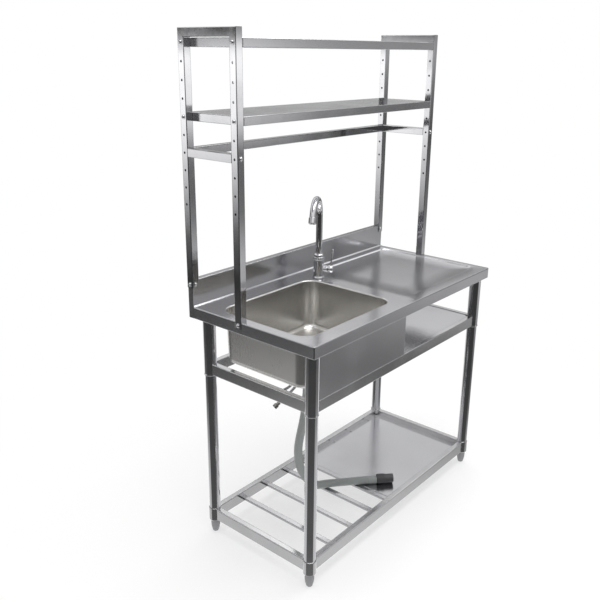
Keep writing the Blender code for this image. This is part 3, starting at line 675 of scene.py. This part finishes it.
def build_legs():
    """Telescoping legs with rolled lips, chamfered sleeves and bullet feet."""
    upper = soften([(0.0187, 0.7935), (UPPER_R, 0.7935), (UPPER_R, 0.5815), (0.0206, 0.5800),
                    (0.0208, 0.5780), (0.0204, 0.5762), (0.0188, 0.5760), (0.0187, 0.5790),
                    (0.0187, 0.7935)], 0.0008, 4)
    lower = soften([(0.0170, 0.640), (LOWER_R, 0.640), (LOWER_R, 0.0490), (0.0170, 0.0490),
                    (0.0170, 0.640)], 0.0003, 3)
    sleeve = soften([(0.01875, 0.0925), (0.0198, 0.0930), (SLEEVE_R, 0.0915), (SLEEVE_R, 0.0485),
                     (0.0180, 0.0450), (0.0058, 0.0450), (0.0058, 0.0485), (0.01860, 0.0485),
                     (0.01875, 0.0925)], 0.0008, 5)
    foot = soften([(0, 0), (0.0088, 0), (0.0102, 0.0030), (0.0126, 0.0120), (0.0143, 0.0220),
                   (0.0148, 0.0310), (0.0146, 0.0395), (0.0130, 0.0446), (0.0050, 0.0447),
                   (0.0050, 0.0930), (0.0040, 0.0945), (0, 0.0945)], 0.0012, 4)
    for side, sign in SIDE.items():
        for end, y in LEG_Y.items():
            spot, place = (sign * LEG_X, y, 0), f"{end}_{side}"
            piece(f"leg_{place}_upper_tube", [turned(upper, spot)], "tube_steel",
                  nodes=(f"leg_upper_{place}",))
            piece(f"leg_{place}_lower_tube", [turned(lower, spot)], "tube_steel",
                  nodes=(f"leg_lower_{place}",))
            piece(f"leg_{place}_sleeve", [turned(sleeve, spot)], "rail_steel",
                  nodes=(f"corner_sleeve_{place}",))
            piece(f"leg_{place}_foot", [turned(foot, spot, sides=48)], "foot_plastic",
                  body=f"levelling_{place}", nodes=(f"foot_{place}",))


def rail_skin(low, high, reach):
    """A rail's rounded outline as (depth, height), and each point's end gap to the round leg."""
    line = soften([(RAIL_W / 2, low), (0, low), (0, high), (RAIL_W, high), (RAIL_W, low),
                   (RAIL_W / 2, low)], 0.0028, 7)[:-1]
    saddle = np.sqrt(reach ** 2 - (line[:, 0] - RAIL_W / 2) ** 2)
    return line, saddle


def build_rails():
    """Rectangular tubes with rounded edges, whose ends are coped to the round legs."""
    half = RAIL_W / 2
    for level, (low, high, reach) in LEVELS.items():
        line, saddle = rail_skin(low, high, reach + 0.0001)
        for end, y in LEG_Y.items():
            rows = [np.column_stack((x, y + line[:, 0] - half, line[:, 1]))
                    for x in (-LEG_X + saddle, LEG_X - saddle)]
            piece(f"{level}_rail_{end}_tube", [(np.array(rows), True)], "rail_steel",
                  nodes=(f"{level}_rail_{end}",), wall=RAIL_T)
        for side, sign in SIDE.items():
            rows = [np.column_stack((sign * LEG_X + line[:, 0] - half, y, line[:, 1]))
                    for y in (LEG_Y["front"] + saddle, LEG_Y["back"] - saddle)]
            piece(f"{level}_rail_{side}_tube", [(np.array(rows), True)], "rail_steel",
                  nodes=(f"{level}_rail_{side}",), wall=RAIL_T)


def shelf_sheet(name, node, left, top, notch):
    """A shelf sheet with a rolled left fold, notched round the two right legs."""
    right = LEG_X - RAIL_W / 2 - GAP
    step = LEG_X - notch
    front, back = LEG_Y["front"] + notch, LEG_Y["back"] - notch
    line = soften([(left + 0.008, top - 0.015), (left, top - 0.015), (left, top), (step, top)],
                  (0, 0.0015, 0.0025, 0), 6)
    wide = np.array((RAIL_INNER_FRONT, front, back, RAIL_INNER_BACK))
    main = np.stack([np.column_stack((line[:, 0], np.full(len(line), y), line[:, 1])) for y in wide])
    tail = np.array([[(x, y, top) for x in (step, right)] for y in (front, back)])
    piece(name, [(main, False), (tail, False)], "sheet_steel", nodes=(node,), wall=FOLD, front=TOPSIDE)


def build_lower_shelves():
    """The mid and low sheets, and the slats."""
    shelf_sheet("mid_shelf_folded", "mid_shelf_sheet", MID_LEFT, MID_TOP, UPPER_R + 0.0008)
    shelf_sheet("low_shelf_folded", "low_shelf_sheet", LOW_LEFT, LOW_TOP, SLEEVE_R + 0.0008)
    for number, x in enumerate(SLAT_X, 1):
        left, right, foot = x - SLAT_HALF, x + SLAT_HALF, LOW_TOP - 0.008
        line = soften([(left, foot), (left, LOW_TOP), (right, LOW_TOP), (right, foot)], 0.0022, 6)
        rows = [np.column_stack((line[:, 0], np.full(len(line), y), line[:, 1]))
                for y in (RAIL_INNER_FRONT, RAIL_INNER_BACK)]
        piece(f"slat_{number}_folded", [(np.array(rows), False)], "sheet_steel",
              nodes=(f"slat_{number}",), wall=FOLD, front=TOPSIDE)


def build_apron():
    """The apron in front of the bowl, with its right edge folded back."""
    y, (left, right) = LEG_Y["front"] - RAIL_W / 2, APRON_X
    line = soften([(left, y), (right, y), (right, y + APRON_RETURN)], 0.0025, 7)
    rows = [np.column_stack((line, np.full(len(line), z))) for z in APRON_Z]
    piece("front_apron_folded", [(np.array(rows), False)], "sheet_steel",
          nodes=("front_apron",), wall=FOLD, front=(0, -1, 0))


def build_drain_holes():
    """The low sheet's three drain holes: a pressed lip round a dark disc of painted shade that stands in
    for the hole's opening, as the sheet is not cut.
    """
    lips, painted_shade_discs = [], []
    for x in HOLE_X:
        spot = (x, HOLE_Y, LOW_TOP)
        lips.append(turned([(HOLE_R, 0.0001), (0.0046, 0.0001), (0.0042, 0.0006), (0.0034, 0.0007),
                            (HOLE_R, 0.0001)], spot, sides=32))
        # A thin dark disc laid on the sheet in the dark plastic finish: painted shade in place of the
        # hole's opening.
        painted_shade_discs.append(turned([(0, 0.0001), (HOLE_R, 0.0001), (HOLE_R, 0.0003), (0, 0.0003)],
                              spot, sides=32))
    piece("low_shelf_hole_lips", lips, "sheet_steel")
    piece("low_shelf_hole_painted_shade", painted_shade_discs, "waste_plastic")


def build_trays():
    """Overshelf trays: a flat sheet with lips folded down all round and a hem turned in."""
    for name, top in TRAYS.items():
        fold = soften([(0.010, top - TRAY_H), (0, top - TRAY_H), (0, top), (0.010, top)],
                      (0, 0.0015, 0.0025, 0), 7)
        rings = []
        for inset, height in fold:
            corner = max(0.0030 - inset, 0.0004)
            rings.append(raised(ring_of(-TRAY_X + inset, TRAY_X - inset, TRAY_FRONT + inset,
                                        TRAY_BACK - inset, corner), height))
        rings += centre_fill(rings[-1])
        piece(f"{name}_folded", [(np.array(rings), True)], "sheet_steel", nodes=(name,), wall=FOLD,
              front=TOPSIDE)


# ---------------------------------------------------------------- fasteners

def bolt(spot, out, radius=0.0055, height=0.0032):
    """A domed bolt head on a thin washer, standing out from a face."""
    dome = [(radius * math.cos(a), 0.0009 + height * math.sin(a)) for a in np.radians(range(0, 91, 10))]
    profile = [(0, -0.0004), (radius + 0.0022, -0.0004), (radius + 0.0022, 0.0006),
               (radius + 0.0018, 0.0009)] + dome[:-1] + [(0, 0.0009 + height)]
    return turned(profile, spot, out, 32)


def build_bolts():
    """Bolts of the trays, brace and post tabs."""
    shapes = []
    for sign in SIDE.values():
        out = (sign, 0, 0)
        for y in POST_Y.values():
            for z in TRAY_BOLT_Z:
                shapes.append(bolt((sign * POST_OUT, y + POST / 2, z), out))
        shapes.append(bolt((sign * POST_OUT, POST_Y["front"] + POST / 2, FRONT_TAB_Z), out))
        shapes.append(bolt((sign * POST_OUT, POST_Y["back"] + POST / 2, BACK_TAB_Z), out))
        middle = sign * (POST_OUT - POST / 2)
        shapes.append(bolt((middle, POST_Y["front"], BRACE_MIDDLE_Z), (0, -1, 0)))
        shapes.append(bolt((middle, POST_Y["back"] + POST, BRACE_MIDDLE_Z), (0, 1, 0)))
        shapes.append(bolt((middle, POST_Y["back"], BACK_TAB_Z), (0, -1, 0)))
    piece("frame_bolts", shapes, "tap_chrome")


# ---------------------------------------------------------------- tap and waste

def build_tap():
    """The mixer: body with a side stub, swivel spout with an aerator, ball hub and lever."""
    body = soften([(0, 0.790), (0.0155, 0.790), (0.0155, 0.8002), (0.0205, 0.8002),
                   (0.0208, 0.8035), (0.0190, 0.8060), (0.0180, 0.8080), (0.0178, 0.8640),
                   (0.0186, 0.8665), (0.0192, 0.8685), (0.0192, 0.8735), (0.0180, 0.8755),
                   (0, 0.8755)], 0.0008, 5)
    shank = soften([(0, SHANK_END_Z), (0.0150, SHANK_END_Z), (0.0155, 0.7665), (0.0155, 0.7905),
                    (0, 0.7905)], 0.0004)
    pivot = TAP + STUB_Z * UP
    stub = soften([(0, 0.004), (0.0118, 0.004), (0.0118, 0.0288), (0.0104, 0.0300), (0, 0.0300)],
                  0.0006)
    piece("tap_body_turned", [turned(body, TAP), turned(shank, TAP), turned(stub, pivot, HANDLE, 48)],
          "tap_chrome", nodes=("tap_body",))

    straight = np.array([TAP + z * UP for z in
                         (0.8758, 0.8766, 0.8815, 0.8835, 0.8860, 0.8870, 0.93, 0.98)])
    turn = np.radians(np.linspace(0, ARC_TURN, 49))
    arc = (TAP + SPOUT_AIM * (ARC_R * (1 - np.cos(turn)))[:, None]
           + UP * (ARC_Z + ARC_R * np.sin(turn))[:, None])
    heading = SPOUT_AIM * math.sin(turn[-1]) + UP * math.cos(turn[-1])
    path = np.concatenate((straight, arc, [arc[-1] + heading * SPOUT_TAIL]))
    radii = np.full(len(path), SPOUT_R)
    radii[:6] = (0.0158, 0.0166, 0.0166, 0.0158, 0.0126, 0.0112)
    piece("tap_spout_bent", [capped(carried(path, radii, SPOUT_SIDE, 40))], "tap_chrome", body="spout",
          nodes=("tap_spout",))
    nozzle = soften([(0, 0.0003), (0.0118, 0.0003), (0.0128, 0.0014), (0.0128, 0.0190),
                     (0.0116, 0.0205), (0.0092, 0.0205), (0.0090, 0.0188), (0, 0.0180)], 0.0005)
    piece("tap_aerator_turned", [turned(nozzle, path[-1], heading, 48)], "tap_chrome", body="spout",
          nodes=("tap_aerator",))

    height = np.linspace(-HUB_HALF, HUB_HALF, 21)
    hub = np.column_stack((np.sqrt(HUB_R ** 2 - height ** 2), HUB_REACH + height))
    hub = np.concatenate(([(0, HUB_REACH - HUB_HALF)], hub, [(0, HUB_REACH + HUB_HALF)]))
    piece("tap_handle_ball", [turned(hub, pivot, HANDLE, 48)], "tap_chrome", body="handle",
          nodes=("tap_handle_hub",))
    hinge = pivot + HANDLE * HUB_REACH
    lean = unit(HANDLE * 0.12 + UP)
    lever = soften([(0, HUB_R + GAP), (0.0036, HUB_R + GAP), (0.0030, 0.0190), (0.0026, 0.0500),
                    (0.0036, 0.0655), (0.0034, 0.0700), (0, 0.0708)], 0.0012)
    piece("tap_lever_turned", [turned(lever, hinge, lean, 32)], "tap_chrome", body="lever",
          nodes=("tap_lever",))
    nut = soften([(0.0159, 0.7980), (0.0240, 0.7980), (0.0240, 0.7955), (0.0225, 0.7955),
                  (0.0225, 0.7860), (0.0159, 0.7860), (0.0159, 0.7980)], 0.0004)
    piece("tap_nut_turned", [turned(nut, TAP, sides=48)], "nut_brass", nodes=("tap_fixing_nut",))


def build_waste():
    """The waste's flange, nut and tail, and the lift-out strainer with its knob, with dark discs on its
    floor that are painted shade standing in for its holes.
    """
    seat = SEAT_Z + GAP
    fitting = soften([(0.0225, seat + 0.0013), (0.0340, seat + 0.0015), (0.0347, seat + 0.0004),
                      (0.0340, seat), (0.0245, seat), (0.0245, 0.6200), (0.0340, 0.6200),
                      (0.0340, 0.6080), (0.0260, 0.6060), (0.0260, 0.5900), (0.0190, 0.5820),
                      (0.0190, 0.5600), (0.0110, 0.5600), (0.0110, 0.5840), (0.0225, 0.5920),
                      (0.0225, seat + 0.0013)], 0.0005, 4)
    piece("waste_fitting_turned", [turned(fitting, (*WASTE, 0))], "waste_plastic",
          nodes=("waste_fitting",))
    rest = seat + 0.0018
    basket = soften([(0, 0.6020), (0.0205, 0.6020), (0.0215, 0.6035), (0.0215, rest),
                     (0.0296, rest), (0.0300, rest + 0.0008), (0.0290, rest + 0.0016),
                     (0.0205, rest + 0.0012), (0.0190, 0.6048), (0.0040, 0.6045),
                     (0.0028, 0.6080), (0.0028, 0.6300), (0.0062, 0.6340), (0.0065, 0.6380),
                     (0.0040, 0.6400), (0, 0.6400)], 0.0006, 4)
    piece("strainer_turned", [turned(basket, (*WASTE, 0), sides=56)], "tap_chrome",
          body="strainer_body", nodes=("strainer",))
    # Dark discs on the strainer's floor in the dark plastic finish: painted shade in place of holes,
    # which are not cut.
    painted_hole_shade_dots = []
    for count, radius in ((8, 0.0080), (14, 0.0140)):
        for k in range(count):
            angle = 2 * math.pi * k / count
            x, y = WASTE[0] + radius * math.cos(angle), WASTE[1] + radius * math.sin(angle)
            disc = [(0, 0.6049), (0.0014, 0.6049), (0.0014, 0.6052), (0, 0.6052)]
            painted_hole_shade_dots.append(turned(disc, (x, y, 0), sides=12))
    piece("strainer_painted_hole_shade", painted_hole_shade_dots, "waste_plastic", body="strainer_body")


# ---------------------------------------------------------------- stage

# Where the studio's near and right walls stand, and the light that a diffuse surface meets.
NEAR_WAY, RIGHT_WAY = (-0.77, -0.64, 0), (0.64, -0.77, 0)
DIFFUSE_LIGHT = 0.70
# Brightness of the studio a reflection meets, by the height of its direction (-1 down, 1 up).
FLOOR_END = ((-1.0, 0.95), (-0.60, 0.70))
CEILING = ((0.42, 0.65), (0.55, 0.95), (0.75, 0.85), (1.0, 0.30))
LEFT_WALL = (*FLOOR_END, (-0.52, 0.58), (-0.44, 0.12), (-0.30, 0.03), (-0.24, 0.12), (-0.17, 0.70),
             (-0.10, 1.30), (0.0, 1.60), (0.015, 0.02), (0.25, 0.15), *CEILING)
RIGHT_WALL = (*FLOOR_END, (-0.53, 0.62), (-0.46, 0.22), (-0.40, 0.12), (-0.34, 0.34), (-0.28, 0.62),
              (-0.21, 0.18), (-0.13, 0.15), (-0.09, 1.00), (0.0, 1.50), (0.02, 0.30),
              (0.25, 0.30), *CEILING)
RIGHT_END = (*RIGHT_WALL[:7], (-0.21, 0.20), (-0.10, 0.10), (-0.04, 0.22), (0.0, 0.50), (0.02, 0.30),
             (0.25, 0.25), *CEILING)
NEAR_WALL = ((-1.0, 0.95), (-0.80, 0.60), (-0.62, 0.11), (-0.40, 0.05), (-0.10, 0.03), (-0.05, 0.30),
             (0.0, 0.40), (0.02, 0.04), (0.30, 0.15), *CEILING)
FAR_WALL = ((-1.0, 0.95), (-0.40, 0.95), (-0.34, 0.60), (-0.27, 0.18), (-0.14, 0.10), (0.0, 0.50),
            (0.08, 0.62), (0.16, 0.22), (0.265, 0.16), (0.31, 0.70), (0.38, 0.95), (0.47, 0.88),
            (0.52, 0.45), (0.57, 0.50), (0.60, 1.70), (0.67, 1.70), (0.70, 0.50), (1.0, 0.40))


def world_light():
    """White behind the object; reflections see a studio that is dark on the camera's side."""
    world = bpy.data.worlds.new("studio")
    bpy.context.scene.world = world
    world.use_nodes = True
    tree = world.node_tree
    tree.nodes.clear()
    ray = tree.nodes.new("ShaderNodeTexCoord").outputs["Generated"]
    level = vector_maths(tree, "NORMALIZE", vector_maths(tree, "MULTIPLY", ray, (1, 1, 0)))
    toward = vector_maths(tree, "DOT_PRODUCT", level, NEAR_WAY)
    across = vector_maths(tree, "DOT_PRODUCT", level, RIGHT_WAY)
    height = vector_maths(tree, "DOT_PRODUCT", ray, (0, 0, 1))
    right = mixed(tree, ramp_of(tree, toward, ((-0.20, 0), (-0.10, 1))),
                  ramp_of(tree, height, RIGHT_END), ramp_of(tree, height, RIGHT_WALL))
    side = mixed(tree, ramp_of(tree, across, ((-0.6, 0), (0.6, 1))),
                 ramp_of(tree, height, LEFT_WALL), right)
    behind = ramp_of(tree, toward, ((0.30, 0), (0.52, 1)))
    ahead = ramp_of(tree, toward, ((-0.66, 1), (-0.42, 0)))
    studio = mixed(tree, behind, side, ramp_of(tree, height, NEAR_WALL))
    studio = mixed(tree, ahead, studio, ramp_of(tree, height, FAR_WALL))

    path = tree.nodes.new("ShaderNodeLightPath")
    seen = maths(tree, "MAXIMUM", path.outputs["Is Camera Ray"],
                 mixed(tree, path.outputs["Is Glossy Ray"], DIFFUSE_LIGHT, studio))
    background = tree.nodes.new("ShaderNodeBackground")
    background.inputs["Color"].default_value = (1, 1, 1, 1)
    tree.links.new(seen, background.inputs["Strength"])
    out = tree.nodes.new("ShaderNodeOutputWorld")
    tree.links.new(background.outputs[0], out.inputs["Surface"])


def vector_maths(tree, operation, first, second=None):
    """A Vector Math node on a socket and a fixed vector; returns its value or vector."""
    node = tree.nodes.new("ShaderNodeVectorMath")
    node.operation = operation
    tree.links.new(first, node.inputs[0])
    if second is not None:
        node.inputs[1].default_value = second
    return node.outputs["Value" if operation == "DOT_PRODUCT" else "Vector"]


def mixed(tree, factor, first, second):
    """A number between two numbers by a factor."""
    node = tree.nodes.new("ShaderNodeMix")
    for label, value in (("Factor", factor), ("A", first), ("B", second)):
        if isinstance(value, (int, float)):
            node.inputs[label].default_value = value
        else:
            tree.links.new(value, node.inputs[label])
    return node.outputs[0]


def ramp_of(tree, value, stops):
    """Brightness by stops of (value, brightness) between -1 and 1."""
    node = tree.nodes.new("ShaderNodeValToRGB")
    set_ramp(node, [((place + 1) / 2, grey) for place, grey in stops])
    tree.links.new(maths(tree, "MULTIPLY_ADD", value, 0.5, 0.5), node.inputs[0])
    return node.outputs[0]


def set_ramp(node, stops):
    """Grey stops of a colour ramp as (place, grey)."""
    ends = node.color_ramp.elements
    ends[0].position, ends[1].position = stops[0][0], stops[-1][0]
    ends[0].color = (*[stops[0][1]] * 3, 1)
    ends[1].color = (*[stops[-1][1]] * 3, 1)
    for place, grey in stops[1:-1]:
        ends.new(place).color = (grey, grey, grey, 1)


def floor_and_lamps():
    """A pale floor that fades to white, and one wide soft lamp overhead."""
    mesh = bpy.data.meshes.new("floor")
    reach, low = 9.0, -0.0002
    corners = [(-reach, -reach, low), (reach, -reach, low), (reach, reach, low), (-reach, reach, low)]
    mesh.from_pydata(corners, [], [(0, 1, 2, 3)])
    floor = bpy.data.objects.new("floor", mesh)
    bpy.context.scene.collection.objects.link(floor)
    material, tree, shader = new_material("floor_pale")
    shader.inputs["Base Color"].default_value = (0.93, 0.93, 0.93, 1)
    shader.inputs["Roughness"].default_value = 0.7
    shader.inputs["Specular IOR Level"].default_value = 0.2
    far = tree.nodes.new("ShaderNodeVectorMath")
    far.operation = "LENGTH"
    tree.links.new(tree.nodes.new("ShaderNodeTexCoord").outputs["Object"], far.inputs[0])
    fade = tree.nodes.new("ShaderNodeMapRange")
    fade.interpolation_type = "SMOOTHSTEP"
    fade.inputs["From Min"].default_value = 0.2
    fade.inputs["From Max"].default_value = 1.7
    fade.inputs["To Min"].default_value = 0.55
    tree.links.new(far.outputs["Value"], fade.inputs["Value"])
    white = tree.nodes.new("ShaderNodeEmission")
    soft = tree.nodes.new("ShaderNodeMixShader")
    tree.links.new(fade.outputs[0], soft.inputs[0])
    tree.links.new(shader.outputs[0], soft.inputs[1])
    tree.links.new(white.outputs[0], soft.inputs[2])
    clear = tree.nodes.new("ShaderNodeBsdfTransparent")
    path = tree.nodes.new("ShaderNodeLightPath")
    seen = tree.nodes.new("ShaderNodeMixShader")
    tree.links.new(path.outputs["Is Glossy Ray"], seen.inputs[0])
    tree.links.new(soft.outputs[0], seen.inputs[1])
    tree.links.new(clear.outputs[0], seen.inputs[2])
    out = next(node for node in tree.nodes if node.type == "OUTPUT_MATERIAL")
    tree.links.new(seen.outputs[0], out.inputs["Surface"])
    mesh.materials.append(material)

    lamp_data = bpy.data.lights.new("overhead", "AREA")
    lamp_data.shape = "RECTANGLE"
    lamp_data.size = 3.0
    lamp_data.size_y = 2.2
    lamp_data.energy = 90
    lamp = bpy.data.objects.new("overhead", lamp_data)
    lamp.location = (0.3, -0.2, 3.4)
    bpy.context.scene.collection.objects.link(lamp)


def dress_frame():
    """Every frame node that stays in sight gets its slot's finish."""
    for row in frame["record"]["subparts"]:
        node = frame["nodes"][row["node"]]
        for held in node.material_slots:
            held.material = FINISH[row["material_slot"]]


build_hoses()
build_worktop()
build_bowl()
build_legs()
build_rails()
build_lower_shelves()
build_drain_holes()
build_apron()
build_trays()
build_bolts()
build_tap()
build_waste()
dress_frame()
world_light()
floor_and_lamps()
bpy.context.scene.view_settings.view_transform = "Standard"
